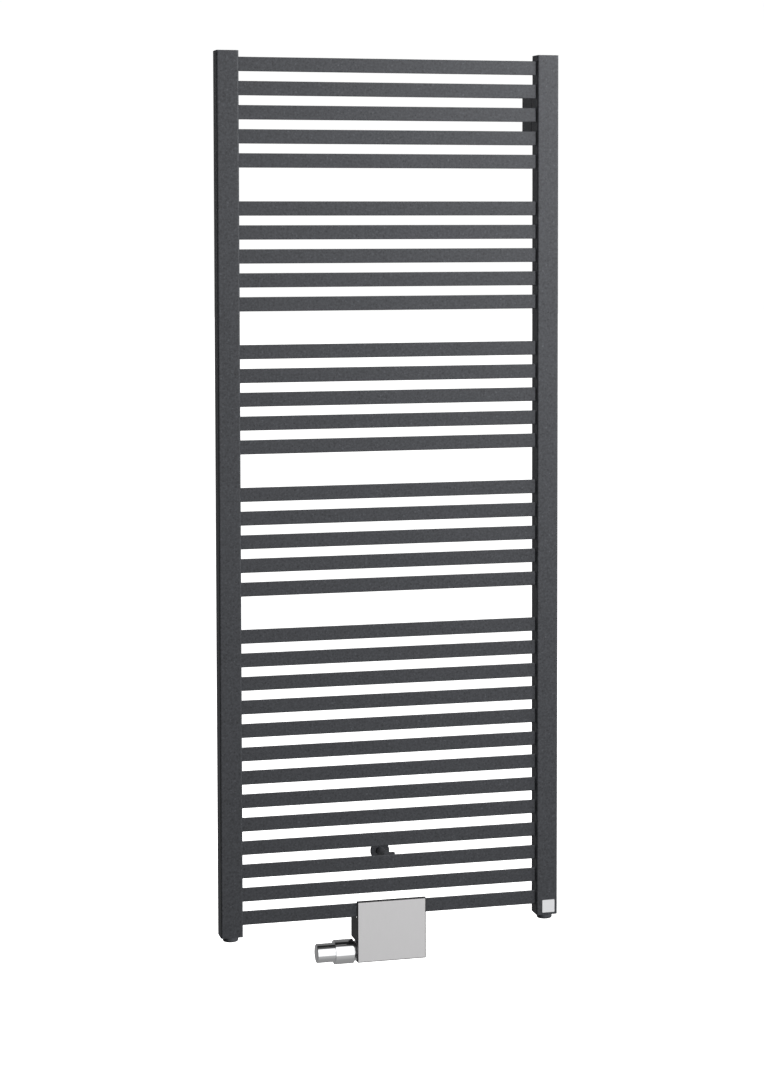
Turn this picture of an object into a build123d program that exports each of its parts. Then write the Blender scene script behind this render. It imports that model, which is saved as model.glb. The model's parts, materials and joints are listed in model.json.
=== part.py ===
from build123d import *
import os

# Towel radiator with a central thermostatic valve, seen from the front with the wall behind it.
# +X runs to the right along the bars, +Y towards the wall and +Z up, all in millimetres.
# The origin lies on the wall plane, at the centre of the four upper wall fixings.

# --- Radiator body ---
overall_width = 600
bar_pitch = 40.5
bar_groups = (5, 5, 5, 5, 13)
bar_height = 24.4
bar_depth = 12
bar_wall = 1.5
bar_edge_radius = 1.2
bar_inner_radius = 0.4
column_width = 38
column_depth = 35
column_wall = 2
column_radius = 3
column_above_bars = 10
column_below_bars = 17.6
wall_to_column_front = 95
column_top_z = 110
flow_hole_radius = 4
bar_drilling_radius = 3.5
bar_drilling_height = 8
cap_thickness = 3
baffle_thickness = 3

# --- Blanking plugs, seals, air vent and badge ---
plug_thread_radius = 10.4
plug_hole_radius = 10.5
plug_collar_wall = 3
plug_head_radius = 13.5
plug_head_height = 8.2
plug_head_rounding = 2.5
plug_thread_length = 12
plug_key_flats = 10
plug_key_depth = 6
plug_seal_height = 1
plug_seal_inset = 0.7
union_seal_height = 1.5
union_seal_inset = 0.3
seal_bore_gap = 0.2
vent_drop = 18
vent_hole_radius = 6.5
vent_hexagon_flats = 17
vent_hexagon_height = 8
vent_thread_length = 6
vent_passage_radius = 1.2
vent_screw_radius = 3
vent_screw_seat_depth = 2
vent_screw_seat_gap = 0.5
vent_screw_proud = 2
vent_slot_width = 1.2
vent_slot_depth = 1.2
badge_side = 22.5
badge_thickness = 1
badge_corner_radius = 1.5
badge_shift_x = 2.3
badge_lift = 4

# --- Wall brackets ---
bracket_shift_inward = 5.5
bracket_height = 80
bracket_width = 27
bracket_shell = 2.5
bracket_corner_radius = 2
wall_plate_thickness = 3
wall_hole_radius = 3.25
wall_hole_rise = 31
housing_wall_gap = 0.5
arm_width = 16
arm_height = 44
arm_front_gap = 1
grub_radius = 3
grub_key_flats = 3
grub_key_depth = 3.5
grub_proud = 1.5
lower_bracket_bar = 31
foot_radius = 17
foot_thickness = 4
foot_chamfer = 1
stem_radius = 8
stem_end_y = -50
clip_radius = 10.5
clip_jaw = 1.5
clip_jaw_reach = 2
clip_jaw_width = 19
clip_jaw_depth = 7.5
clip_end_y = -42
clip_bore_end_y = -62

# --- Valve ---
valve_centres = 50
valve_axis_y = -66
valve_axis_z = -1446.5
riser_y = -74
socket_radius = 12.5
socket_length = 16
socket_saddle_height = 7
socket_bore_radius = 9.3
socket_floor = 3
nipple_radius = 9.2
nipple_thread_length = 10
nipple_shoulder = 2
nipple_tube_radius = 8
nipple_collar_radius = 10
nipple_collar_height = 2.5
nipple_bore_radius = 5.5
union_nut_flats = 27
union_nut_height = 14
union_nut_lift = 0.5
union_nut_gap = 0.2
block_width = 94
block_depth = 32
block_bottom_z = -1460.5
block_top_z = -1430
block_edge_radius = 5
riser_radius = 9.8
riser_height = 4
wall_thread_radius = 13.2
wall_thread_bore = 9
wall_thread_length = 16
wall_collar_radius = 15
wall_collar_length = 3
lockshield_radius = 5
lockshield_recess = 0.5
lockshield_tip_gap = 3
lockshield_key_flats = 5
lockshield_key_depth = 6
insert_radius = 11
insert_depth = 17
insert_flange_radius = 13
insert_flange_thickness = 3
insert_nose_radius = 14.8
insert_nose_length = 10
insert_gap = 0.1
seat_passage_radius = 5
spring_room_radius = 4.6
spring_room_start = 1
spring_room_end = 14
pin_radius = 1.6
pin_collar_radius = 3.6
pin_start = 3
pin_collar_thickness = 1.5
pin_proud = 3
spring_radius = 3.4
spring_bore_radius = 2.2
spring_start = 6.5
spring_length = 5.5
running_clearance = 0.05

# --- Thermostatic head ---
head_start_x = -64
ring_nut_gap = 1
ring_nut_radius = 18.5
ring_nut_length = 8
ring_nut_guide_radius = 17
ring_nut_guide_length = 15
handle_radius = 21
handle_length = 34
handle_edge_radius = 0.8
handle_bearing_depth = 12
handle_room_radius = 16
handle_end_wall = 3
handle_passage_radius = 12
grip_radius = 16.4
grip_length = 31.5
grip_edge_radius = 1.6
grip_shell = 1.8
grip_end_wall = 2.5
capsule_radius = 11
capsule_end_gap = 6
capsule_nose_radius = 4

# --- Valve cover ---
cover_width = 122
cover_top_z = -1354.5
cover_bottom_z = -1461
cover_front_y = -92.5
cover_sheet = 1.5
cover_flank_depth = 52
cover_corner_radius = 0.7
cover_slot_radius = 19.5
cover_slot_depth = 3
cover_bar_gap = 2
cover_lip_drop = 5
cover_lip_gap = 0.5

# A cutting body runs this far past the face that it opens.
overcut = 1

# --- Places worked out from the sizes above ---
half_width = overall_width / 2
column_x = half_width - column_width / 2
inner_face_x = half_width - column_width
bar_length = 2 * inner_face_x
slot_count = sum(bar_groups) + len(bar_groups) - 1
bar_span = (slot_count - 1) * bar_pitch + bar_height
column_length = column_above_bars + bar_span + column_below_bars
column_bottom_z = column_top_z - column_length
column_front_y = -wall_to_column_front
column_mid_y = column_front_y + column_depth / 2
column_back_y = column_front_y + column_depth
bar_front_y = column_mid_y - bar_depth / 2
bar_back_y = bar_front_y + bar_depth
bar_half = bar_height / 2

vent_z = column_top_z - vent_drop
vent_end_y = column_back_y + vent_hexagon_height

bracket_x = column_x - bracket_shift_inward
bracket_half = bracket_height / 2
bracket_screw_y = (column_back_y - wall_plate_thickness) / 2

union_seat_z = block_top_z + riser_height
block_back_y = valve_axis_y + block_depth / 2
block_front_y = valve_axis_y - block_depth / 2
block_end_x = block_width / 2
collar_end_y = block_back_y + wall_collar_length
pipe_end_y = collar_end_y + wall_thread_length
riser_x = valve_centres / 2
insert_back_x = -block_end_x + insert_depth
insert_flange_x = -block_end_x - insert_flange_thickness
insert_nose_x = insert_flange_x - insert_nose_length
pin_tip_x = insert_nose_x - pin_proud
grip_start_x = head_start_x - handle_length
head_end_x = grip_start_x - grip_length


def bar_levels():
    """Heights of the bar centres from the top down, one slot left empty between two groups."""
    heights = []
    slot = 0
    for group in bar_groups:
        for _ in range(group):
            heights.append(column_top_z - column_above_bars - bar_half - slot * bar_pitch)
            slot += 1
        slot += 1
    return heights


levels = bar_levels()
last_bar_z = levels[-1]
last_underside_z = last_bar_z - bar_half
socket_end_z = last_underside_z - socket_length
lower_bracket_z = levels[lower_bracket_bar - 1]


# --- Basic shapes ---

def block(low, high):
    """A box between two opposite corners."""
    sizes = [high[axis] - low[axis] for axis in range(3)]
    middle = [(high[axis] + low[axis]) / 2 for axis in range(3)]
    return Pos(*middle) * Box(*sizes)


def rod_x(radius, start, end, y=valve_axis_y, z=valve_axis_z):
    """A round rod along X between two places, on the valve's axis unless told otherwise."""
    return Pos((start + end) / 2, y, z) * Rot(0, 90, 0) * Cylinder(radius, abs(end - start))


def rod_y(radius, start, end, x, z):
    """A round rod along Y between two places."""
    return Pos(x, (start + end) / 2, z) * Rot(90, 0, 0) * Cylinder(radius, abs(end - start))


def rod_z(radius, start, end, x, y):
    """A round rod along Z between two places."""
    return Pos(x, y, (start + end) / 2) * Cylinder(radius, abs(end - start))


def ring_z(outer, inner, start, end, x, y):
    """A flat ring round an upright axis."""
    return rod_z(outer, start, end, x, y) - rod_z(inner, start - overcut, end + overcut, x, y)


def hexagon(flats, length):
    """A hexagonal prism along Z from the origin, with its size across flats."""
    return extrude(RegularPolygon(flats / 2, 6, major_radius=False), length)


def hexagon_z(flats, start, end, x, y):
    """An upright hexagonal prism."""
    return Pos(x, y, start) * hexagon(flats, end - start)


def both_sides(make):
    """The same piece for the left and the right side, kept as separate solids."""
    return Compound(children=[make(-1), make(1)])


# --- Bars and columns ---

def half_oval(depth, half_height, edge_radius, front_y, z, length):
    """A straight bar along X with a flat front and a back curved as half an ellipse."""
    oval = Ellipse(depth, half_height)
    outline = oval & Pos(depth / 2, 0) * Rectangle(depth, 2 * half_height)
    outline = fillet(outline.vertices(), edge_radius)
    return extrude(Plane.YZ * Pos(front_y, z) * outline, length / 2, both=True)


def bar_solid(z):
    return half_oval(bar_depth, bar_half, bar_edge_radius, bar_front_y, z, bar_length)


def make_bar(z):
    """One flat-fronted tube, open at both ends into the columns."""
    cavity_depth = bar_depth - 2 * bar_wall
    cavity_half = bar_half - bar_wall
    cavity = half_oval(cavity_depth, cavity_half, bar_inner_radius, bar_front_y + bar_wall, z,
                       bar_length + 2 * overcut)
    return bar_solid(z) - cavity


def flow_drilling(side):
    """The way through from a centre socket into the last bar."""
    return rod_z(bar_drilling_radius, last_underside_z - socket_floor - bar_wall - overcut,
                 last_underside_z + bar_drilling_height, side * riser_x, column_mid_y)


def make_last_bar():
    return make_bar(last_bar_z) - flow_drilling(-1) - flow_drilling(1)


def flow_baffle():
    """The plug in the middle of the last bar that sends the water round both columns."""
    play = running_clearance
    return half_oval(bar_depth - 2 * bar_wall - 2 * play, bar_half - bar_wall - 2 * play,
                     bar_inner_radius, bar_front_y + bar_wall + play, last_bar_z, baffle_thickness)


def column_outline(inset):
    outline = Rectangle(column_width - 2 * inset, column_depth - 2 * inset)
    return fillet(outline.vertices(), column_radius - inset)


def column_prism(x, inset, low_z, high_z):
    return Pos(x, column_mid_y, low_z) * extrude(column_outline(inset), high_z - low_z)


def make_column(side):
    """An upright square tube with a flow hole opposite each bar; side is -1 left, +1 right."""
    x = side * column_x
    tube = column_prism(x, 0, column_bottom_z, column_top_z)
    tube -= column_prism(x, column_wall, column_bottom_z, column_top_z)
    inner_start = side * (inner_face_x - overcut)
    inner_end = side * (inner_face_x + column_wall + overcut)
    tube -= [rod_x(flow_hole_radius, inner_start, inner_end, column_mid_y, z) for z in levels]
    if side > 0:
        tube -= rod_y(vent_hole_radius, column_back_y - column_wall - overcut,
                      column_back_y + overcut, x, vent_z)
    return tube


def top_end_cap(side):
    return column_prism(side * column_x, column_wall, column_top_z - cap_thickness, column_top_z)


def bottom_end_cap(side):
    """The closing plate at the foot of a column, with a threaded collar for the blanking plug."""
    x = side * column_x
    collar_top = column_bottom_z + plug_thread_length
    cap = column_prism(x, column_wall, column_bottom_z, column_bottom_z + cap_thickness)
    cap += rod_z(plug_hole_radius + plug_collar_wall, column_bottom_z, collar_top, x, column_mid_y)
    return cap - rod_z(plug_hole_radius, column_bottom_z - overcut, collar_top + overcut,
                       x, column_mid_y)


# --- Plugs, seals, air vent and badge ---

def blanking_plug(side):
    """A screwed plug with a rounded head and a hexagon socket, below a column."""
    x = side * column_x
    head_top = column_bottom_z - plug_seal_height
    head_bottom = head_top - plug_head_height
    shank_top = column_bottom_z + plug_thread_length - overcut
    head = rod_z(plug_head_radius, head_bottom, head_top, x, column_mid_y)
    head = fillet(head.edges().group_by(Axis.Z)[0], plug_head_rounding)
    shank = rod_z(plug_thread_radius, head_top, shank_top, x, column_mid_y)
    key = hexagon_z(plug_key_flats, head_bottom - overcut, head_bottom + plug_key_depth,
                    x, column_mid_y)
    return head + shank - key


def connection_seals():
    """The flat rings under the two plug heads and in the two unions."""
    rings = []
    for side in (-1, 1):
        rings.append(ring_z(plug_head_radius - plug_seal_inset, plug_thread_radius + seal_bore_gap,
                            column_bottom_z - plug_seal_height, column_bottom_z,
                            side * column_x, column_mid_y))
        rings.append(ring_z(nipple_tube_radius - union_seal_inset,
                            nipple_bore_radius + seal_bore_gap,
                            union_seat_z - union_seal_height, union_seat_z,
                            side * riser_x, riser_y))
    return Compound(children=rings)


def air_vent_plug():
    """The screwed vent body on the back of the right column."""
    body = Pos(column_x, column_back_y, vent_z) * Rot(-90, 0, 0) * hexagon(
        vent_hexagon_flats, vent_hexagon_height)
    body += rod_y(vent_hole_radius - 2 * running_clearance, column_back_y - vent_thread_length,
                  column_back_y, column_x, vent_z)
    screw_room = rod_y(vent_screw_radius + running_clearance,
                       column_back_y - vent_screw_seat_depth, vent_end_y + overcut,
                       column_x, vent_z)
    passage = rod_y(vent_passage_radius, column_back_y - vent_thread_length - overcut,
                    column_back_y, column_x, vent_z)
    return body - screw_room - passage


def air_vent_screw():
    """The slotted bleed screw in the vent body."""
    end_y = vent_end_y + vent_screw_proud
    half_slot = vent_slot_width / 2
    seat_y = column_back_y - vent_screw_seat_depth + vent_screw_seat_gap
    screw = rod_y(vent_screw_radius, seat_y, end_y, column_x, vent_z)
    slot = block((column_x - 2 * vent_screw_radius, end_y - vent_slot_depth, vent_z - half_slot),
                 (column_x + 2 * vent_screw_radius, end_y + overcut, vent_z + half_slot))
    return screw - slot


def badge_plate():
    """A blank square plate near the foot of the right column."""
    middle_z = column_bottom_z + badge_lift + badge_side / 2
    outline = fillet(Rectangle(badge_side, badge_side).vertices(), badge_corner_radius)
    place = Pos(column_x + badge_shift_x, column_front_y, middle_z)
    return place * Rot(90, 0, 0) * extrude(outline, badge_thickness)


# --- Wall brackets ---

def upper_wall_plate(side):
    """A plate screwed to the wall by two screws, with the arm that carries the radiator."""
    x = side * bracket_x
    outline = fillet(Rectangle(bracket_width, bracket_height).vertices(), bracket_corner_radius)
    plate = Pos(x, 0, 0) * Rot(90, 0, 0) * extrude(outline, wall_plate_thickness)
    arm_front_y = column_back_y + bracket_shell + arm_front_gap
    plate += block((x - arm_width / 2, arm_front_y, -arm_height / 2),
                   (x + arm_width / 2, -wall_plate_thickness, arm_height / 2))
    for rise in (-wall_hole_rise, wall_hole_rise):
        plate -= rod_y(wall_hole_radius, -wall_plate_thickness - overcut, overcut, x, rise)
    return plate


def upper_bracket_housing(side):
    """The box behind a column, open towards the wall, that hangs over the arm."""
    x = side * bracket_x
    half_x = bracket_width / 2
    room_x = half_x - bracket_shell
    room_z = bracket_half - bracket_shell
    shell = block((x - half_x, column_back_y, -bracket_half),
                  (x + half_x, -wall_plate_thickness - housing_wall_gap, bracket_half))
    shell = fillet(shell.edges().filter_by(Axis.Y), bracket_corner_radius)
    shell -= block((x - room_x, column_back_y + bracket_shell, -room_z),
                   (x + room_x, overcut, room_z))
    return shell - rod_z(grub_radius + 2 * running_clearance, -bracket_half - overcut,
                         -room_z + overcut, x, bracket_screw_y)


def bracket_screw(side):
    """The grub screw that sets and locks a housing on its arm."""
    x = side * bracket_x
    low_z = -bracket_half - grub_proud
    screw = rod_z(grub_radius, low_z, -arm_height / 2, x, bracket_screw_y)
    return screw - hexagon_z(grub_key_flats, low_z - overcut, low_z + grub_key_depth,
                             x, bracket_screw_y)


def lower_wall_foot():
    """The round spacer foot and its stem, from the wall to the clip on a bar."""
    foot = rod_y(foot_radius, -foot_thickness, 0, 0, lower_bracket_z)
    foot = chamfer(foot.edges().group_by(Axis.Y)[0], foot_chamfer)
    return foot + rod_y(stem_radius, stem_end_y, -foot_thickness, 0, lower_bracket_z)


def lower_bar_clip():
    """The sleeve on the stem, with two jaws that grip the back of the bar."""
    half_z = bar_half + clip_jaw
    half_x = clip_jaw_width / 2
    jaw_end_y = bar_back_y + clip_jaw_reach
    sleeve = rod_y(clip_radius, bar_back_y - clip_jaw_depth + clip_jaw_reach, clip_end_y,
                   0, lower_bracket_z)
    sleeve += block((-half_x, jaw_end_y - clip_jaw_depth, lower_bracket_z - half_z),
                    (half_x, jaw_end_y, lower_bracket_z + half_z))
    sleeve -= bar_solid(lower_bracket_z)
    return sleeve - rod_y(stem_radius + 2 * running_clearance, clip_bore_end_y,
                          clip_end_y + overcut, 0, lower_bracket_z)


# --- Valve ---

def centre_socket(side):
    """A threaded socket shaped to the underside of the last bar and welded to it."""
    x = side * riser_x
    saddle_z = last_underside_z + socket_saddle_height
    socket = rod_z(socket_radius, socket_end_z, saddle_z, x, riser_y)
    socket -= block((x - 2 * socket_radius, column_front_y, last_underside_z),
                    (x + 2 * socket_radius, bar_front_y, saddle_z + overcut))
    socket -= bar_solid(last_bar_z)
    socket -= rod_z(socket_bore_radius, socket_end_z - overcut, last_underside_z - socket_floor,
                    x, riser_y)
    return socket - flow_drilling(side)


def valve_union(side):
    """A nipple screwed up into a socket and the nut that draws it to the valve."""
    x = side * riser_x
    thread_top = socket_end_z + nipple_thread_length
    nipple = rod_z(nipple_tube_radius, union_seat_z, thread_top, x, riser_y)
    nipple += rod_z(nipple_radius, socket_end_z - nipple_shoulder, thread_top, x, riser_y)
    nipple += rod_z(nipple_collar_radius, union_seat_z, union_seat_z + nipple_collar_height,
                    x, riser_y)
    nipple -= rod_z(nipple_bore_radius, union_seat_z - overcut, thread_top + overcut, x, riser_y)
    nut_low = block_top_z + union_nut_lift
    nut_high = nut_low + union_nut_height
    shoulder_z = union_seat_z + nipple_collar_height + union_nut_gap
    nut = hexagon_z(union_nut_flats, nut_low, nut_high, x, riser_y)
    nut -= rod_z(nipple_collar_radius + union_nut_gap, nut_low - overcut, shoulder_z, x, riser_y)
    nut -= rod_z(nipple_tube_radius + union_nut_gap, nut_low, nut_high + overcut, x, riser_y)
    return [nipple, nut]


def valve_unions():
    return Compound(children=valve_union(-1) + valve_union(1))


def valve_block():
    """The H-shaped brass body with two risers, two pipe threads and the valve seat."""
    body = block((-block_end_x, block_front_y, block_bottom_z),
                 (block_end_x, block_back_y, block_top_z))
    body = fillet(body.edges().filter_by(Axis.X), block_edge_radius)
    for side in (-1, 1):
        x = side * riser_x
        body += rod_z(riser_radius, block_top_z - block_edge_radius - overcut,
                      union_seat_z - union_seal_height, x, riser_y)
        body += rod_y(wall_collar_radius, block_back_y - wall_collar_length - block_edge_radius,
                      collar_end_y, x, valve_axis_z)
        body += rod_y(wall_thread_radius, collar_end_y - overcut, pipe_end_y, x, valve_axis_z)
        body -= rod_y(wall_thread_bore, valve_axis_y, pipe_end_y + overcut, x, valve_axis_z)
        body -= rod_z(nipple_bore_radius, valve_axis_z, union_seat_z, x, riser_y)
    body -= rod_x(insert_radius + insert_gap, -block_end_x - overcut, insert_back_x + overcut)
    body -= rod_x(seat_passage_radius, insert_back_x - overcut, -riser_x)
    body -= rod_y(lockshield_radius + running_clearance, block_front_y - overcut, valve_axis_y,
                  riser_x, valve_axis_z)
    return body


def lockshield_spindle():
    """The shut-off spindle in the return side, turned by a key from the front."""
    front_y = block_front_y + lockshield_recess
    spindle = rod_y(lockshield_radius, front_y, valve_axis_y - lockshield_tip_gap,
                    riser_x, valve_axis_z)
    key_start_y = block_front_y - overcut
    key = Pos(riser_x, key_start_y, valve_axis_z) * Rot(-90, 0, 0) * hexagon(
        lockshield_key_flats, lockshield_key_depth + overcut)
    return spindle - key


def valve_insert():
    """The screwed cartridge whose threaded nose carries the thermostatic head."""
    insert = rod_x(insert_radius, insert_back_x, -block_end_x)
    insert += rod_x(insert_flange_radius, -block_end_x, insert_flange_x)
    insert += rod_x(insert_nose_radius, insert_flange_x, insert_nose_x)
    insert -= rod_x(spring_room_radius, insert_back_x + spring_room_start,
                    insert_back_x - spring_room_end)
    return insert - rod_x(pin_radius + running_clearance, insert_back_x, insert_nose_x - overcut)


def valve_pin():
    """The push pin, with the collar that the return spring bears on."""
    start_x = insert_back_x - pin_start
    pin = rod_x(pin_radius, start_x, pin_tip_x)
    return pin + rod_x(pin_collar_radius, start_x, start_x - pin_collar_thickness)


def pin_spring():
    """The return spring round the pin, drawn as its coils closed up into one sleeve."""
    start_x = insert_back_x - spring_start
    end_x = start_x - spring_length
    spring = rod_x(spring_radius, start_x, end_x)
    return spring - rod_x(spring_bore_radius, start_x + overcut, end_x - overcut)


# --- Thermostatic head ---

def head_ring_nut():
    """The fixed nut that screws the head to the insert and guides the handle."""
    start_x = insert_flange_x - ring_nut_gap
    step_x = start_x - ring_nut_length
    end_x = step_x - ring_nut_guide_length
    nut = rod_x(ring_nut_radius, start_x, step_x)
    nut += rod_x(ring_nut_guide_radius, step_x, end_x)
    return nut - rod_x(insert_nose_radius + insert_gap, start_x + overcut, end_x - overcut)


def head_handle():
    """The wider turning sleeve next to the cover."""
    bearing_end_x = head_start_x - handle_bearing_depth
    room_end_x = grip_start_x + handle_end_wall
    sleeve = rod_x(handle_radius, head_start_x, grip_start_x)
    sleeve = fillet(sleeve.edges().filter_by(GeomType.CIRCLE), handle_edge_radius)
    bearing = rod_x(ring_nut_guide_radius + running_clearance, head_start_x + overcut,
                    bearing_end_x)
    room = rod_x(handle_room_radius, bearing_end_x + overcut, room_end_x - overcut)
    passage = rod_x(handle_passage_radius, room_end_x, grip_start_x - overcut)
    return sleeve - bearing - room - passage


def head_grip():
    """The narrower outer end of the head, a closed cap."""
    grip = rod_x(grip_radius, grip_start_x, head_end_x)
    end_edge = grip.edges().filter_by(GeomType.CIRCLE).sort_by(Axis.X)[0]
    grip = fillet(end_edge, grip_edge_radius)
    return grip - rod_x(grip_radius - grip_shell, grip_start_x + overcut,
                        head_end_x + grip_end_wall)


def sensor_capsule():
    """The expanding capsule inside the head, whose nose bears on the valve pin."""
    start_x = grip_start_x + capsule_end_gap
    capsule = rod_x(capsule_radius, start_x, head_end_x + capsule_end_gap)
    return capsule + rod_x(capsule_nose_radius, pin_tip_x, start_x)


# --- Valve cover ---

def cover_shell(inset):
    """The cover's outer volume, or the room inside it when inset is the sheet thickness."""
    half = cover_width / 2 - inset
    lip_back_y = bar_front_y - cover_lip_gap + inset * 2
    shelf_z = last_underside_z - cover_bar_gap
    front_y = cover_front_y + inset
    lip = block((-half, front_y, shelf_z - cover_lip_drop), (half, lip_back_y, cover_top_z - inset))
    box = block((-half, front_y, cover_bottom_z - inset * 2),
                (half, cover_front_y + cover_flank_depth + inset, shelf_z))
    return lip + box


def cover():
    """The pull-off cover: front, two flanks and a short lip above the last bar."""
    shell = cover_shell(0) - cover_shell(cover_sheet)
    for corner in (0, -1):
        upright_edges = shell.edges().filter_by(Axis.Z).group_by(Axis.Y)[0]
        shell = fillet(upright_edges.sort_by(Axis.X)[corner], cover_corner_radius)
    flank_x = -cover_width / 2
    slot = rod_x(cover_slot_radius, flank_x - overcut, flank_x + cover_slot_depth)
    slot += block((flank_x - overcut, valve_axis_y, valve_axis_z - cover_slot_radius),
                  (flank_x + cover_slot_depth, 0, valve_axis_z + cover_slot_radius))
    return shell - slot


def all_pieces():
    """Every sub-part by its name."""
    pieces = {f"bar_{number:02d}": make_bar(z) for number, z in enumerate(levels, start=1)}
    pieces[f"bar_{len(levels):02d}"] = make_last_bar()
    pieces["left_column"] = make_column(-1)
    pieces["right_column"] = make_column(1)
    for make in (top_end_cap, bottom_end_cap, blanking_plug, upper_wall_plate,
                 upper_bracket_housing, bracket_screw, centre_socket):
        pieces[f"{make.__name__}s"] = both_sides(make)
    for make in (connection_seals, air_vent_plug, air_vent_screw, badge_plate, lower_wall_foot,
                 lower_bar_clip, flow_baffle, valve_unions, valve_block, lockshield_spindle,
                 valve_insert, valve_pin, pin_spring, head_ring_nut, head_handle, head_grip,
                 sensor_capsule, cover):
        pieces[make.__name__] = make()
    return pieces


os.makedirs("parts", exist_ok=True)
for node, piece in all_pieces().items():
    export_step(piece, f"parts/{node}.step")
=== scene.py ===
"""Looks of the towel radiator: materials, added mesh detail, light and camera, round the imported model."""
import bpy
import bmesh
import json
import math
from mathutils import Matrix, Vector


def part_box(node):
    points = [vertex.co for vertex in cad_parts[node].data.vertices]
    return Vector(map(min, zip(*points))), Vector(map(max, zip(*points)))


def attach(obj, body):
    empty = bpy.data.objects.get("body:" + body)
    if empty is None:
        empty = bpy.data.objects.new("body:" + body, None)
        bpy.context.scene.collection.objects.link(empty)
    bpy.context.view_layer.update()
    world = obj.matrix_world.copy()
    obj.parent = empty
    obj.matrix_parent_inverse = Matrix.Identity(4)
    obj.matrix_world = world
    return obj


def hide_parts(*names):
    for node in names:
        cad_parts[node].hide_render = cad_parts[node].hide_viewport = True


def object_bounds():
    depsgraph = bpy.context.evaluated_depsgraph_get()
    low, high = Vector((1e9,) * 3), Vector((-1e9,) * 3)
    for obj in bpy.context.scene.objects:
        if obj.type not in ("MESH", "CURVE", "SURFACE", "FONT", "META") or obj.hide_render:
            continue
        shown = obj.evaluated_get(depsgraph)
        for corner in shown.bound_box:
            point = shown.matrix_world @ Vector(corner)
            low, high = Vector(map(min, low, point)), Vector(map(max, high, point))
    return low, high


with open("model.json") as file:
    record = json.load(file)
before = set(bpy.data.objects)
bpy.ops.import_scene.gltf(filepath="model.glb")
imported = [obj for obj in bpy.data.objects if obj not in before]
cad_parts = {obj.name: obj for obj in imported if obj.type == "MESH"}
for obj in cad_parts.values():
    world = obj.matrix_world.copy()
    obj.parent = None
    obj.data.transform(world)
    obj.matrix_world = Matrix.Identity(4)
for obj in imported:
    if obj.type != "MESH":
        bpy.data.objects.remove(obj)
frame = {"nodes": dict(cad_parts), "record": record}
nodes = frame["nodes"]
cad_low, cad_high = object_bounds()

MM = 0.001
RIGHT, BACK, UP = Vector((1.0, 0.0, 0.0)), Vector((0.0, 1.0, 0.0)), Vector((0.0, 0.0, 1.0))


# ---------------------------------------------------------------- node trees

class Wiring:
    """A node tree with short ways to add nodes and to work out values in it."""

    def __init__(self, tree):
        self.tree = tree
        tree.nodes.clear()

    def feed(self, socket, value):
        """Gives a socket the output of another node, or else a colour, a vector or a number."""
        if isinstance(value, bpy.types.NodeSocket):
            self.tree.links.new(value, socket)
        elif socket.type == "RGBA":
            socket.default_value = (*value, 1.0)
        else:
            socket.default_value = value

    def add(self, kind, feeds=None, **settings):
        """Makes a node; feeds says what goes into its sockets, and settings are its other properties."""
        node = self.tree.nodes.new(kind)
        for key, value in settings.items():
            setattr(node, key, value)
        for key, value in (feeds or {}).items():
            self.feed(node.inputs[key], value)
        return node

    def math(self, operation, first, second=0.0):
        return self.add("ShaderNodeMath", {0: first, 1: second}, operation=operation).outputs[0]

    def ramp(self, source, stops):
        """Maps a value through stops of (place, grey)."""
        node = self.add("ShaderNodeValToRGB", {"Fac": source})
        points = node.color_ramp.elements
        while len(points) < len(stops):
            points.new(0.5)
        for point, (place, grey) in zip(points, stops):
            point.position = place
            point.color = (grey, grey, grey, 1.0)
        return node.outputs["Color"]

    def spread(self, source, low, high, start=0.3, end=0.7):
        """Grey that goes from low to high as a value, such as a noise, goes from start to end."""
        return self.ramp(source, [(start, low), (end, high)])


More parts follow.
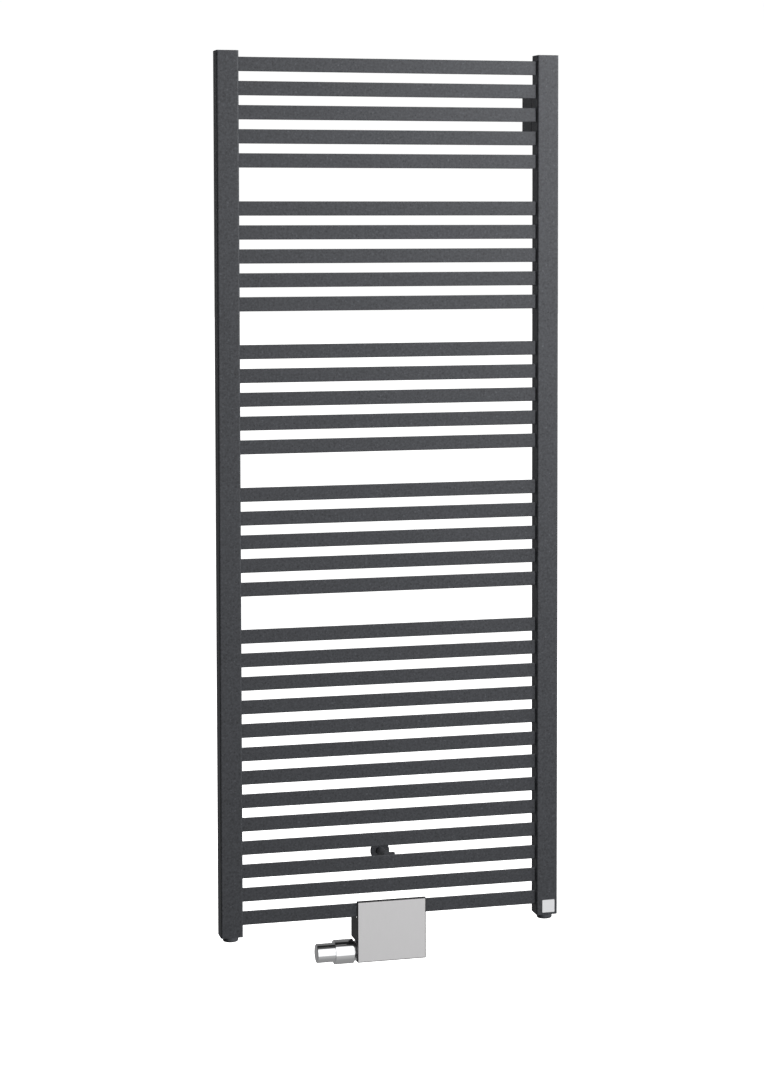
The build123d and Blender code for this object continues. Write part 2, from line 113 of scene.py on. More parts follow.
class Shader(Wiring):
    """One procedural material, drawn in the object's own coordinates."""

    def __init__(self, name, **constants):
        self.material = bpy.data.materials.new(name)
        self.material.use_nodes = True
        super().__init__(self.material.node_tree)
        self.bsdf = self.add("ShaderNodeBsdfPrincipled", {
            key.replace("_", " "): value for key, value in constants.items()})
        self.add("ShaderNodeOutputMaterial", {"Surface": self.bsdf.outputs[0]})
        self.coordinates = self.add("ShaderNodeTexCoord")
        self.place = self.coordinates.outputs["Object"]

    def stretched(self, scale):
        """The object's own coordinates, stretched along an axis to draw a grain."""
        return self.add("ShaderNodeMapping", {"Scale": scale, "Vector": self.place}).outputs[0]

    def warped(self, scale, amount):
        """The object's own coordinates, pushed about by noise so that round shapes turn ragged."""
        noise = self.add("ShaderNodeTexNoise", {"Scale": scale, "Vector": self.place}).outputs["Color"]
        push = self.add("ShaderNodeVectorMath", {0: noise, "Scale": amount}, operation="SCALE").outputs[0]
        return self.add("ShaderNodeVectorMath", {0: self.place, 1: push}, operation="ADD").outputs[0]

    def noise(self, scale, detail=3.0, roughness=0.55, vector=None):
        return self.add("ShaderNodeTexNoise", {
            "Scale": scale, "Detail": detail, "Roughness": roughness,
            "Vector": vector or self.place}).outputs["Fac"]

    def flecks(self, scale, size, share, vector):
        """Spots in a share of the cells: 1 in the middle of a spot and 0 between spots."""
        cells = self.add("ShaderNodeTexVoronoi", {"Scale": scale, "Vector": vector})
        spot = self.ramp(cells.outputs["Distance"], [(0.0, 1.0), (size / 2, 0.75), (size, 0.0)])
        pick = self.add("ShaderNodeSeparateColor", {0: cells.outputs["Color"]})
        chosen = self.ramp(pick.outputs[0], [(1.0 - share, 0.0), (1.0, 1.0)])
        return self.math("MULTIPLY", spot, chosen)

    def blend(self, factor, first, second):
        """Mixes two colours by a factor that varies over the surface."""
        feeds = {0: factor, 6: first, 7: second}
        return self.add("ShaderNodeMix", feeds, data_type="RGBA").outputs[2]

    def bump(self, height, distance, strength=1.0, after=None):
        """Raises the surface by a height, on top of another bump if one is given."""
        feeds = {"Strength": strength, "Distance": distance, "Height": height}
        if after is not None:
            feeds["Normal"] = after
        return self.add("ShaderNodeBump", feeds).outputs[0]

    def finish(self, colour, roughness, normal):
        for name, source in (("Base Color", colour), ("Roughness", roughness), ("Normal", normal)):
            self.feed(self.bsdf.inputs[name], source)
        return self.material


# ---------------------------------------------------------------- materials

def scaled(tone, factor):
    return tuple(channel * factor for channel in tone)


def powder_coat(name, tone, contrast=1.0, grain=0.16 * MM, rough=(0.64, 0.48)):
    """Structured powder coat: a mottled, pebbled skin with ragged pale and dark flecks."""
    s = Shader(name, Metallic=0.0, IOR=1.45, Specular_IOR_Level=0.3)
    cloud = s.spread(s.noise(5.0, 2.0), 0.0, 1.0)
    mottle = s.spread(s.noise(250.0, 3.0, 0.62), 0.0, 1.0, 0.36, 0.64)
    pale_flecks = s.flecks(330.0, 0.4, 0.42, s.warped(520.0, 1.6 * MM))
    dark_flecks = s.flecks(230.0, 0.5, 0.5, s.warped(430.0, 2.4 * MM))
    coarse_flecks = s.flecks(150.0, 0.3, 0.4, s.warped(330.0, 3.0 * MM))
    tint = s.blend(cloud, scaled(tone, 0.92), scaled(tone, 1.03))
    for mask, opacity, brightness in (
            (mottle, 0.9, 1.6),
            (pale_flecks, 0.5, 2.9),
            (dark_flecks, 0.7, 0.35),
            (coarse_flecks, 0.6, 3.0)):
        tint = s.blend(s.math("MULTIPLY", mask, opacity * contrast), tint, scaled(tone, brightness))
    roughness = s.spread(s.noise(420.0, 3.0, 0.7), *rough)
    pebbles = s.bump(s.noise(1100.0, 2.0, 0.6), grain)
    return s.finish(tint, roughness, s.bump(s.noise(260.0, 2.0), grain * 1.5, 0.6, pebbles))


def polished_chrome(name, tone):
    """Mirror chrome with very faint polishing marks and a few dull patches."""
    s = Shader(name, Metallic=1.0, IOR=1.5)
    marks = s.noise(90.0, 4.0, 0.6, s.stretched((1.0, 14.0, 14.0)))
    base = s.blend(s.spread(marks, 0.0, 1.0, 0.3, 0.75), tone, scaled(tone, 0.965))
    rough = s.spread(s.noise(26.0, 3.0), 0.03, 0.07, 0.3, 0.8)
    return s.finish(base, rough, s.bump(marks, 0.012 * MM, 0.3))


def drawn_grain(s, tone, grain, rough, marks, depth):
    """Colour, roughness and normal of a metal with a fine grain along one axis."""
    lines = s.noise(marks, 3.0, 0.6, s.stretched(grain))
    cloud = s.spread(s.noise(9.0, 2.0), 0.0, 0.6, 0.35, 0.75)
    base = s.blend(s.spread(lines, 0.0, 1.0), scaled(tone, 0.94), tone)
    base = s.blend(cloud, base, scaled(tone, 0.96))
    return base, s.spread(lines, *rough), s.bump(lines, depth, 0.5)


def satin_metal(name, tone, grain, rough):
    """Bare or plated metal with a fine grain."""
    s = Shader(name, Metallic=1.0, IOR=1.5)
    return s.finish(*drawn_grain(s, tone, grain, rough, 700.0, 0.02 * MM))


def faced_sheet(name, box, front_tone, painted_shade_tone):
    """The cover's sheet: a satin front, with painted shade on it: a fine dark rim round the front's edges,
    and near-black flanks where the sheet turns away from the front.
    """
    edge_shade_start, edge_shade_end = 1.1 * MM, 1.5 * MM
    turned_away, full_front = 0.9, 0.975
    s = Shader(name, IOR=1.5)
    front, rough, normal = drawn_grain(s, front_tone, (1.0, 1.0, 0.06), (0.46, 0.54), 900.0, 0.006 * MM)
    # Painted shade: faces turned away from the front, such as the flanks and the top, are painted near-black
    # and not metallic.
    outward = s.add("ShaderNodeSeparateXYZ", {0: s.coordinates.outputs["Normal"]})
    facing = s.spread(s.math("MULTIPLY", outward.outputs["Y"], -1.0), 0.0, 1.0, turned_away, full_front)
    place = s.add("ShaderNodeSeparateXYZ", {0: s.place})
    # Painted reflection: a dark band 1.1 to 1.5 mm wide round the front's edges, in the shade tone, stands
    # in for the dark surroundings seen in the rounded edge.
    margins = []
    for axis in (0, 2):
        middle, half = (box[0][axis] + box[1][axis]) / 2, (box[1][axis] - box[0][axis]) / 2
        offset = s.math("ABSOLUTE", s.math("SUBTRACT", place.outputs[axis], middle))
        margins.append(s.math("SUBTRACT", half, offset))
    past_edge_shade = s.math("SUBTRACT", s.math("MINIMUM", *margins), edge_shade_start)
    clear_of_edge_shade = s.spread(s.math("DIVIDE", past_edge_shade, edge_shade_end - edge_shade_start), 0.0, 1.0, 0.0, 1.0)
    unshaded_front = s.math("MULTIPLY", facing, clear_of_edge_shade)
    # The painted shade tone: near-black with a faint mottle, used on the flanks and on the rim round the
    # front.
    painted_shade = s.blend(s.spread(s.noise(600.0), 0.0, 1.0), painted_shade_tone, scaled(painted_shade_tone, 1.5))
    s.feed(s.bsdf.inputs["Metallic"], unshaded_front)
    return s.finish(s.blend(unshaded_front, painted_shade, front), rough, normal)


def machined_brass(name, tone):
    """Brass as turned: fine tool marks and slightly darker patches."""
    s = Shader(name, Metallic=1.0, IOR=1.5)
    marks = s.noise(900.0, 2.0, 0.5, s.stretched((0.15, 1.0, 1.0)))
    patches = s.spread(s.noise(70.0, 4.0, 0.65), 0.0, 0.7, 0.4, 0.75)
    base = s.blend(patches, tone, scaled(tone, 0.72))
    return s.finish(base, s.spread(marks, 0.24, 0.42), s.bump(marks, 0.03 * MM, 0.6))


def moulded_rubber(name):
    """Black rubber with a fine, dull skin."""
    s = Shader(name, Metallic=0.0, IOR=1.5)
    fine = s.noise(1200.0, 2.0)
    base = s.blend(s.spread(fine, 0.0, 1.0), (0.012, 0.012, 0.013), (0.03, 0.03, 0.031))
    return s.finish(base, s.spread(fine, 0.7, 0.85), s.bump(fine, 0.04 * MM))


# Tones are linear. A grain runs along the axis where the noise has a small share of its scale.
COAT = (0.0325, 0.034, 0.038)
GRAIN_X = (0.05, 1.0, 1.0)
GRAIN_Y = (1.0, 0.12, 1.0)
GRAIN_Z = (1.0, 1.0, 0.1)
materials = {
    "powder_coat": powder_coat("powder_coat_anthracite", COAT),
    # Painted light: the plug's coat is the main coat made 1.5 times lighter. It stands in for light thrown
    # up from the floor onto its rounded end.
    "plug_coat": powder_coat("plug_coat_painted_bounce", scaled(COAT, 1.5), 0.5, 0.1 * MM, (0.4, 0.3)),
    "bracket_steel": powder_coat("bracket_coat", scaled(COAT, 0.5), 0.5, 0.12 * MM),
    "zinc_steel": satin_metal("zinc_steel", (0.6, 0.61, 0.63), GRAIN_Z, (0.3, 0.42)),
    "vent_nickel": satin_metal("vent_nickel", (0.74, 0.71, 0.66), GRAIN_Y, (0.16, 0.26)),
    "badge_metal": satin_metal("badge_satin", (0.69, 0.695, 0.71), GRAIN_X, (0.3, 0.4)),
    "seal_rubber": moulded_rubber("seal_rubber"),
    "valve_brass": machined_brass("valve_brass", (0.76, 0.57, 0.27)),
    "union_brass": satin_metal("union_nickel", (0.7, 0.67, 0.61), GRAIN_Z, (0.2, 0.32)),
    "spring_steel": satin_metal("spring_steel", (0.56, 0.56, 0.57), GRAIN_X, (0.2, 0.3)),
    "head_chrome": polished_chrome("head_chrome", (0.9, 0.905, 0.915)),
    "capsule_metal": satin_metal("capsule_metal", (0.66, 0.66, 0.68), GRAIN_X, (0.3, 0.4)),
    # The cover's last tone is painted shade, for its flanks and for the fine rim round its front.
    "cover_satin": faced_sheet("cover_satin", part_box("cover"), (0.55, 0.545, 0.55), (0.007, 0.007, 0.008)),
}

slot_of = {part["node"]: part["material_slot"] for part in frame["record"]["subparts"]}


def dress(piece, slot):
    """Gives a piece one material in place of what it had."""
    piece.data.materials.clear()
    piece.data.materials.append(materials[slot])


for node_name, node in nodes.items():
    dress(node, slot_of[node_name])


# ---------------------------------------------------------------- mesh helpers

def new_piece(name, mesh, body, slot, replaced=None):
    """Links a finished bmesh as a piece that rides on a body and may stand for a CAD node."""
    crease = math.radians(25)
    bmesh.ops.recalc_face_normals(mesh, faces=mesh.faces)
    data = bpy.data.meshes.new(name)
    mesh.to_mesh(data)
    mesh.free()
    for face in data.polygons:
        face.use_smooth = True
    data.set_sharp_from_angle(angle=crease)
    piece = bpy.data.objects.new(name, data)
    bpy.context.scene.collection.objects.link(piece)
    dress(piece, slot)
    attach(piece, body)
    if replaced:
        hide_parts(replaced)
    return piece


def turns(count):
    """Angles in even steps round one turn."""
    return [2 * math.pi * k / count for k in range(count)]


def arc(centre, radius, start, end, steps):
    """Points round a centre from one angle to another, both in degrees and both included."""
    angles = [math.radians(start + (end - start) * k / steps) for k in range(steps + 1)]
    return [(centre[0] + radius * math.cos(a), centre[1] + radius * math.sin(a)) for a in angles]


def add_tube(mesh, rings, looped=True):
    """Skins rings of points one after another, either back to the first or with two end faces."""
    rows = [[mesh.verts.new(point) for point in ring] for ring in rings]
    count = len(rows[0])
    if looped:
        rows.append(rows[0])
    else:
        mesh.faces.new(rows[0])
        mesh.faces.new(rows[-1])
    for near, far in zip(rows, rows[1:]):
        for i in range(count):
            j = (i + 1) % count
            mesh.faces.new((near[i], near[j], far[j], far[i]))


def add_lathed(mesh, profile, axis, segments=120):
    """Turns a closed profile about an axis that starts at a point.

    profile is a list of (place along the axis, radius), or a function that gives one for an
    angle; axis is (start, direction, side), and side is where angle 0 points, square to the axis."""
    start, direction, side = axis
    other = direction.cross(side)
    tips = {}
    rows = []
    for angle in turns(segments):
        outward = side * math.cos(angle) + other * math.sin(angle)
        row = []
        for along, radius in profile(angle) if callable(profile) else profile:
            if radius > 0:
                row.append(mesh.verts.new(start + direction * along + outward * radius))
            else:
                if along not in tips:
                    tips[along] = mesh.verts.new(start + direction * along)
                row.append(tips[along])
        rows.append(row)
    for near, far in zip(rows, rows[1:] + rows[:1]):
        for i in range(len(near)):
            j = (i + 1) % len(near)
            distinct = list(dict.fromkeys((near[i], near[j], far[j], far[i])))
            if len(distinct) > 2:
                mesh.faces.new(distinct)


def soften(mesh, edge):
    """Joins up a mesh's flat faces and rounds off its sharp edges."""
    same_point = 0.002 * MM
    flat, sharp = math.radians(0.6), math.radians(40)
    bmesh.ops.remove_doubles(mesh, verts=mesh.verts, dist=same_point)
    bmesh.ops.dissolve_limit(mesh, angle_limit=flat, verts=mesh.verts, edges=mesh.edges)
    corners = [e for e in mesh.edges if len(e.link_faces) == 2 and e.calc_face_angle() > sharp]
    bmesh.ops.bevel(mesh, geom=corners, offset=edge, segments=3, profile=0.5, affect="EDGES",
                    clamp_overlap=True)


def flatten_shading(piece):
    """Keeps flat faces flat to look at, beside their rounded edges."""
    weighted = piece.modifiers.new("flat_faces", "WEIGHTED_NORMAL")
    weighted.keep_sharp = True


def softened(name, node, body, edge):
    """A copy of a CAD node with its sharp edges rounded off."""
    mesh = bmesh.new()
    mesh.from_mesh(nodes[node].data)
    soften(mesh, edge)
    flatten_shading(new_piece(name, mesh, body, slot_of[node], node))


# ---------------------------------------------------------------- welds

def bar_outline(low, high, grow, edge_radius):
    """(y, z) points round a bar: flat front with rounded edges, back curved as half an ellipse."""
    edge_steps, back_steps, front_steps = 5, 22, 14
    front, back = low.y - grow, high.y + grow
    middle, half = (low.z + high.z) / 2, (high.z - low.z) / 2 + grow
    radius = edge_radius + grow
    edge_y = front + radius
    points = arc((edge_y, middle - half + radius), radius, 180, 270, edge_steps)
    for k in range(1, back_steps):
        angle = math.pi * (k / back_steps - 0.5)
        points.append((edge_y + (back - edge_y) * math.cos(angle), middle + half * math.sin(angle)))
    points += arc((edge_y, middle + half - radius), radius, 90, 180, edge_steps)
    top, bottom = points[-1][1], points[0][1]
    points += [(front, top + (bottom - top) * k / front_steps) for k in range(1, front_steps)]
    return points


def weld_beads():
    """A small rippled fillet round each end of each bar, where it is welded to its column."""
    leg = 0.9 * MM
    sunk = 0.2 * MM
    edge_radius = 1.2 * MM
    ripple = 0.07
    ripple_step = 2.4
    # (along the bar, out from it)
    section = [(leg + sunk, -sunk), *arc((leg, leg), leg, 270, 180, 4), (-sunk, leg + sunk), (-sunk, -sunk)]
    mesh = bmesh.new()
    for low, high in (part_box(name) for name in nodes if name.startswith("bar_")):
        for end_x, inward in ((low.x, 1.0), (high.x, -1.0)):
            rings = []
            for along, grow in section:
                ring = []
                for i, (y, z) in enumerate(bar_outline(low, high, grow, edge_radius)):
                    wave = 1.0 + ripple * math.sin(i * ripple_step) if along > 0 else 1.0
                    ring.append((end_x + inward * along * wave, y, z))
                rings.append(ring)
            add_tube(mesh, rings)
    new_piece("bar_weld_beads", mesh, "radiator", "powder_coat")


def rounded_rectangle(low, high, inset, corner_radius):
    """Points round a flat rectangle with rounded corners, drawn in by an inset."""
    radius = max(corner_radius - inset, 0.1 * MM)
    x0, x1 = low[0] + inset + radius, high[0] - inset - radius
    y0, y1 = low[1] + inset + radius, high[1] - inset - radius
    points = []
    for centre, start in (((x1, y1), 0), ((x0, y1), 90), ((x0, y0), 180), ((x1, y0), 270)):
        points += arc(centre, radius, start, start + 90, 8)
    return points


def seam_section(half_width, height):
    """(offset, rise) round the flattened cross-section of a seam."""
    return [(half_width * math.cos(turn), height * math.sin(turn)) for turn in turns(10)]


def cap_seams():
    """The low, dressed seam where an end cap is welded into each end of a column."""
    column_wall = 2.0 * MM
    column_radius = 3.0 * MM
    section = seam_section(1.0 * MM, 0.28 * MM)
    mesh = bmesh.new()
    for low, high in (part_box("left_column"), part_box("right_column")):
        for end_z in (low.z, high.z):
            add_tube(mesh, [[(x, y, end_z + rise) for x, y in rounded_rectangle(
                low, high, column_wall + offset, column_radius)] for offset, rise in section])
    new_piece("column_cap_seams", mesh, "radiator", "powder_coat")


def housing_seams():
    """The bead that joins each bracket housing to the back of its column."""
    width = 27.0 * MM
    corner_radius = 2.0 * MM
    section = seam_section(1.3 * MM, 1.3 * MM)
    low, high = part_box("upper_bracket_housings")
    mesh = bmesh.new()
    for left_x in (low.x, high.x - width):
        add_tube(mesh, [[(x, low.y + rise, z) for x, z in rounded_rectangle(
            (left_x, low.z), (left_x + width, high.z), -offset, corner_radius)] for offset, rise in section])
    new_piece("housing_seams", mesh, "radiator", "bracket_steel")


# ---------------------------------------------------------------- thermostatic head

def head_axis():
    """The head's axis, which runs out to the left from the valve."""
    low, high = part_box("head_handle")
    return Vector((0.0, (low.y + high.y) / 2, (low.z + high.z) / 2)), -RIGHT, UP


def along_head(node):
    """A node's near and far ends along the head's axis, and its radius."""
    low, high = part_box(node)
    return -high.x, -low.x, (high.z - low.z) / 2


def turned_handle():
    """The wide sleeve of the head, turned from one piece, with rounded rims."""
    near, far, radius = along_head("head_handle")
    rim = 0.9 * MM
    bearing, passage, room = 17.05 * MM, 12.0 * MM, 16.0 * MM
    bearing_length, end_wall = 12.0 * MM, 3.0 * MM
    profile = [(near, bearing),
               *arc((near + rim, radius - rim), rim, 180, 90, 6),
               *arc((far - rim, radius - rim), rim, 90, 0, 6),
               (far, passage), (far - end_wall, passage), (far - end_wall, room),
               (near + bearing_length, room), (near + bearing_length, bearing)]
    mesh = bmesh.new()
    add_lathed(mesh, profile, head_axis())
    new_piece("turned_handle", mesh, "head", "head_chrome", "head_handle")


def turned_grip():
    """The narrow outer end of the head: a cap with a rounded rim and a very slightly domed end."""
    near, far, radius = along_head("head_grip")
    rim = 1.7 * MM
    dome = 0.4 * MM
    dome_steps = 6
    shell = 1.8 * MM
    end_wall = 2.5 * MM
    flat = radius - rim
    profile = [(near, radius - shell), (near, radius), *arc((far - dome - rim, flat), rim, 90, 0, 9)]
    profile += [(far - dome * (1 - k / dome_steps) ** 2, flat * (1 - k / dome_steps))
                for k in range(1, dome_steps + 1)]
    profile += [(far - end_wall, 0.0), (far - end_wall, radius - shell)]
    mesh = bmesh.new()
    add_lathed(mesh, profile, head_axis())
    new_piece("turned_grip", mesh, "head", "head_chrome", "head_grip")


def knurled_ring_nut():
    """The nut that holds the head to the valve, straight-knurled to be tightened by hand."""
    near, far, crest = along_head("head_ring_nut")
    guide, bore = 17.0 * MM, 14.9 * MM
    grip = 8.0 * MM
    edge = 0.7 * MM
    tooth = 0.5 * MM
    teeth = 72
    points_per_tooth = 4

    def profile(angle):
        knurl = crest - tooth * (0.5 - 0.5 * math.cos(teeth * angle))
        return [(near, bore), (near, crest - tooth - edge), (near + edge, knurl),
                (near + grip - edge, knurl), (near + grip, crest - tooth - edge), (near + grip, guide),
                (far - edge, guide), (far, guide - edge), (far, bore)]

    mesh = bmesh.new()
    add_lathed(mesh, profile, head_axis(), points_per_tooth * teeth)
    new_piece("knurled_ring_nut", mesh, "radiator", slot_of["head_ring_nut"], "head_ring_nut")


# ---------------------------------------------------------------- valve

# (x, z) of the two pipe threads.
pipe_places = [(mount["pos_m"][0], mount["pos_m"][2]) for mount in frame["record"]["mounts"]
               if mount["name"].endswith("_thread")]


def draw_in_spigot(mesh, x, z, start_y, crest, core):
    """Moves the outside of a spigot from the thread's crest to its core."""
    slack = 0.1 * MM
    for vert in mesh.verts:
        offset = Vector((vert.co.x - x, vert.co.z - z))
        if vert.co.y > start_y - slack and abs(offset.length - crest) < 2 * slack:
            vert.co.x = x + offset.x * core / crest
            vert.co.z = z + offset.y * core / crest


def pipe_threads():
    """Real threads on the two wall spigots, and a copy of the block with its spigots drawn in to fit."""
    pitch = 1.814 * MM
    crest = 13.2 * MM
    depth = 1.16 * MM
    core = crest - depth
    buried = core - 0.5 * MM
    length = 16.0 * MM
    fade = 1.6 * MM
    around = 72
    rows = 80
    end_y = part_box("valve_block")[1].y
    start_y = end_y - length

    def radius_at(y, angle):
        """The radius of the helix, which fades out towards both ends."""
        wave = 0.5 + 0.5 * math.cos(2 * math.pi * y / pitch + angle)
        return core + depth * wave * min(1.0, (y - start_y) / fade, (end_y - y) / fade)

    body = bmesh.new()
    body.from_mesh(nodes["valve_block"].data)
    threads = bmesh.new()
    for x, z in pipe_places:
        draw_in_spigot(body, x, z, start_y, crest, core)
        rings = []
        for row in range(rows + 1):
            y = start_y + length * row / rows
            rings.append([(x + radius_at(y, angle) * math.cos(angle), y,
                           z + radius_at(y, angle) * math.sin(angle)) for angle in turns(around)])
        for y in (end_y, start_y):
            rings.append([(x + buried * math.cos(angle), y, z + buried * math.sin(angle))
                          for angle in turns(around)])
        add_tube(threads, rings)
    soften(body, 0.5 * MM)
    flatten_shading(new_piece("valve_body", body, "radiator", "valve_brass", "valve_block"))
    new_piece("pipe_threads", threads, "radiator", "valve_brass")


def hexagon_radius(flats, angle):
    """From the centre of a hexagon to its edge; angle 0 points at the middle of a flat."""
    sixth = math.pi / 3
    return flats / 2 / math.cos((angle + sixth / 2) % sixth - sixth / 2)


def chamfered_hexagon(flats, low, high, angle):
    """(place, radius) at both ends of a hexagon whose corners are turned off at a slant."""
    slant = math.radians(30)
    face_share = 0.95
    face = face_share * flats / 2
    radius = hexagon_radius(flats, angle)
    fall = (radius - face) * math.tan(slant)
    return [(low, face), (low + fall, radius), (high - fall, radius), (high, face)]


def turned_unions():
    """The two nipples and their union nuts, with chamfered corners and rims."""
    flats, nut_height = 27.0 * MM, 14.0 * MM
    collar, collar_height, tube, bore = 10.0 * MM, 2.5 * MM, 8.0 * MM, 5.5 * MM
    thread, thread_length, gap, rim = 9.2 * MM, 12.0 * MM, 0.2 * MM, 0.5 * MM
    seat_lift = 3.5 * MM
    low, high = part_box("valve_unions")
    middle_y = (low.y + high.y) / 2
    seat, top = low.z + seat_lift, high.z
    shoulder = seat + collar_height + gap
    nipple = [(seat, bore), (seat, collar), (seat + collar_height, collar),
              (seat + collar_height, tube), (top - thread_length, tube),
              (top - thread_length, thread - rim), (top - thread_length + rim, thread),
              (top - rim, thread), (top, thread - rim), (top, bore)]

    def nut(angle):
        outside = chamfered_hexagon(flats, low.z, low.z + nut_height, angle)
        return [(low.z, collar + gap), *outside, (low.z + nut_height, tube + gap),
                (shoulder, tube + gap), (shoulder, collar + gap)]

    mesh = bmesh.new()
    for x, _ in pipe_places:
        axis = (Vector((x, middle_y, 0.0)), UP, BACK)
        add_lathed(mesh, nipple, axis)
        add_lathed(mesh, nut, axis)
    new_piece("turned_unions", mesh, "radiator", slot_of["valve_unions"], "valve_unions")


def turned_vent():
    """The air vent body, a chamfered hexagon with its shank and screw bore."""
    flats, height, shank = 17.0 * MM, 8.0 * MM, 6.4 * MM
    room, room_depth, passage = 3.05 * MM, 10.0 * MM, 1.2 * MM
    low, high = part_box("air_vent_plug")
    centre = Vector(((low.x + high.x) / 2, 0.0, (low.z + high.z) / 2))
    seat = high.y - height

    def profile(angle):
        outer_end = chamfered_hexagon(flats, seat, high.y, angle)[2:]
        return [(low.y, passage), (low.y, shank), (seat, shank), (seat, hexagon_radius(flats, angle)),
                *outer_end, (high.y, room), (high.y - room_depth, room), (high.y - room_depth, passage)]

    mesh = bmesh.new()
    add_lathed(mesh, profile, (centre, BACK, UP))
    new_piece("turned_vent", mesh, "radiator", slot_of["air_vent_plug"], "air_vent_plug")


def coil_spring():
    """The return spring round the valve pin, wound from round wire."""
    wire_radius, windings, around, per_winding = 0.5 * MM, 3.25, 10, 40
    start, direction, side = head_axis()
    other = direction.cross(side)
    near, far, outside = along_head("pin_spring")
    near, far, mean = near + wire_radius, far - wire_radius, outside - wire_radius
    steps = round(windings * per_winding)
    rings = []
    for step in range(steps + 1):
        angle = 2 * math.pi * windings * step / steps
        outward = side * math.cos(angle) + other * math.sin(angle)
        centre = start + direction * (near + (far - near) * step / steps) + outward * mean
        rings.append([centre + wire_radius * (outward * math.cos(a) + direction * math.sin(a))
                      for a in turns(around)])
    mesh = bmesh.new()
    add_tube(mesh, rings, looped=False)
    new_piece("coil_spring", mesh, "radiator", slot_of["pin_spring"], "pin_spring")


# ---------------------------------------------------------------- camera and light

WHITE = (1.0, 1.0, 1.0)


def make_camera():
    """A camera to the left of the radiator, level with its upper bars, with a shifted lens."""
    yaw = math.radians(15.49)
    tilt = math.radians(3.267)
    camera = bpy.data.objects.new("camera", bpy.data.cameras.new("camera"))
    bpy.context.scene.collection.objects.link(camera)
    camera.location = (-1.0494, -4.447, -0.1532)
    camera.rotation_euler = (math.radians(90) - tilt, 0.0, -yaw)
    camera.data.lens = 87.07
    camera.data.sensor_width = 36.0
    camera.data.shift_x = -0.09
    camera.data.shift_y = -0.17
    camera.data.clip_end = 60.0
    bpy.context.scene.camera = camera


def area_light(name, place, target, size, power, reflected=True, shadow=True):
    """A square light that the camera never sees; it may also stay out of reflections or cast no shadow."""
    light = bpy.data.objects.new(name, bpy.data.lights.new(name, "AREA"))
    light.data.use_shadow = shadow
    light.visible_camera = False
    light.visible_glossy = reflected
    light.data.size = size
    light.data.energy = power
    light.location = place
    aim = Vector(target) - Vector(place)
    light.rotation_euler = aim.to_track_quat("-Z", "Y").to_euler()
    bpy.context.scene.collection.objects.link(light)


class Surround(Wiring):
    """The world's nodes, with the direction looked in as x, y and z."""

    def __init__(self):
        world = bpy.data.worlds.new("studio")
        bpy.context.scene.world = world
        world.use_nodes = True
        super().__init__(world.node_tree)
        direction = self.add("ShaderNodeTexCoord").outputs["Generated"]
        self.x, self.y, self.z = self.add("ShaderNodeSeparateXYZ", {0: direction}).outputs

    def graded(self, source, low, high, stops):
        """Grey at stops of (value, grey), with the values between low and high."""
        share = self.add("ShaderNodeMapRange", {"From Min": low, "From Max": high, "Value": source})
        return self.ramp(share.outputs[0], [((value - low) / (high - low), grey) for value, grey in stops])

    def background(self, tone, strength):
        return self.add("ShaderNodeBackground", {"Color": tone, "Strength": strength}).outputs[0]

    def choose(self, factor, first, second):
        return self.add("ShaderNodeMixShader", {0: factor, 1: first, 2: second}).outputs[0]


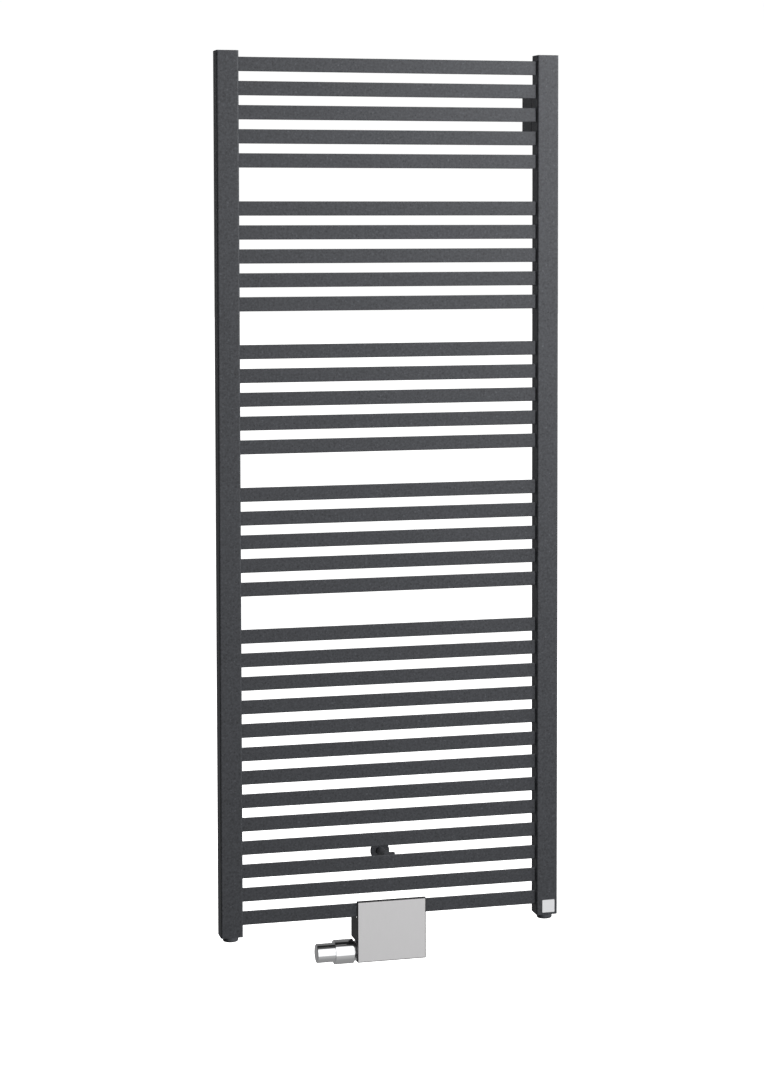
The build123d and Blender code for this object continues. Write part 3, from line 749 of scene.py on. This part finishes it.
def make_world():
    """White behind the object; dim from the left and below; banded in reflections about the X axis."""
    s = Surround()
    turn = s.math("MULTIPLY", s.math("ARCTAN2", s.z, s.math("MULTIPLY", s.y, -1.0)), 180.0 / math.pi)
    # Degrees from the front horizon up over the top to the back, and below it as negative.
    bands = s.graded(turn, -180.0, 180.0, [
        (-180, 0.2), (-70, 0.26), (-26, 0.42), (-21, 1.0), (60, 1.0), (65, 0.12), (76, 0.05), (82, 0.2),
        (90, 0.2), (96, 0.012), (112, 0.012), (122, 0.15), (180, 0.17)])
    right = s.graded(s.x, -1.0, 1.0, [(-0.85, 0.14), (-0.55, 1.0)])
    mirrored = s.background(s.math("MULTIPLY", bands, right), 1.2)
    from_right = s.graded(s.x, -1.0, 1.0, [(-1.0, 0.52), (-0.2, 0.64), (0.6, 1.0)])
    from_above = s.graded(s.z, -1.0, 1.0, [(-1.0, 0.3), (-0.2, 0.7), (0.4, 1.0)])
    fill = s.background(s.math("MULTIPLY", from_right, from_above), 0.46)
    path = s.add("ShaderNodeLightPath")
    light = s.choose(path.outputs["Is Glossy Ray"], fill, mirrored)
    seen = s.choose(path.outputs["Is Camera Ray"], light, s.background(WHITE, 1.02))
    s.add("ShaderNodeOutputWorld", {"Surface": seen})


def make_floor():
    """A plain white floor below the radiator, which neither lights it nor shows in its metal."""
    drop = 0.15
    reach = 30.0
    mesh = bmesh.new()
    bmesh.ops.create_grid(mesh, x_segments=2, y_segments=2, size=reach)
    data = bpy.data.meshes.new("floor")
    mesh.to_mesh(data)
    mesh.free()
    data.materials.append(Shader("pale_floor", Roughness=0.9, Base_Color=(0.9, 0.9, 0.9),
                                 Emission_Color=WHITE, Emission_Strength=0.95).material)
    floor = bpy.data.objects.new("floor", data)
    floor.location = (0.0, 0.0, cad_low.z - drop)
    floor.visible_glossy = False
    floor.visible_diffuse = False
    bpy.context.scene.collection.objects.link(floor)


def make_studio():
    view = bpy.context.scene.view_settings
    view.view_transform = "Standard"
    view.look = "None"
    make_world()
    make_floor()
    area_light("key", place=(1.95, -2.05, 0.75), target=(0.1, 0.0, -0.4), size=1.0, power=130.0,
               shadow=False)
    area_light("fill", place=(-0.6, -3.4, 0.9), target=(0.0, 0.0, -0.4), size=1.6, power=5.0)
    area_light("back", place=(-1.6, 2.6, 0.1), target=(0.0, 0.0, -0.6), size=1.6, power=45.0,
               reflected=False)


make_camera()
weld_beads()
cap_seams()
housing_seams()
turned_handle()
turned_grip()
knurled_ring_nut()
pipe_threads()
turned_unions()
turned_vent()
coil_spring()
softened("folded_cover", "cover", "valve_cover", 0.7 * MM)
softened("badge", "badge_plate", "radiator", 0.25 * MM)
softened("bracket_boxes", "upper_bracket_housings", "radiator", 0.4 * MM)
softened("wall_plates", "upper_wall_plates", "radiator", 0.4 * MM)
softened("bar_clip", "lower_bar_clip", "radiator", 0.3 * MM)
make_studio()
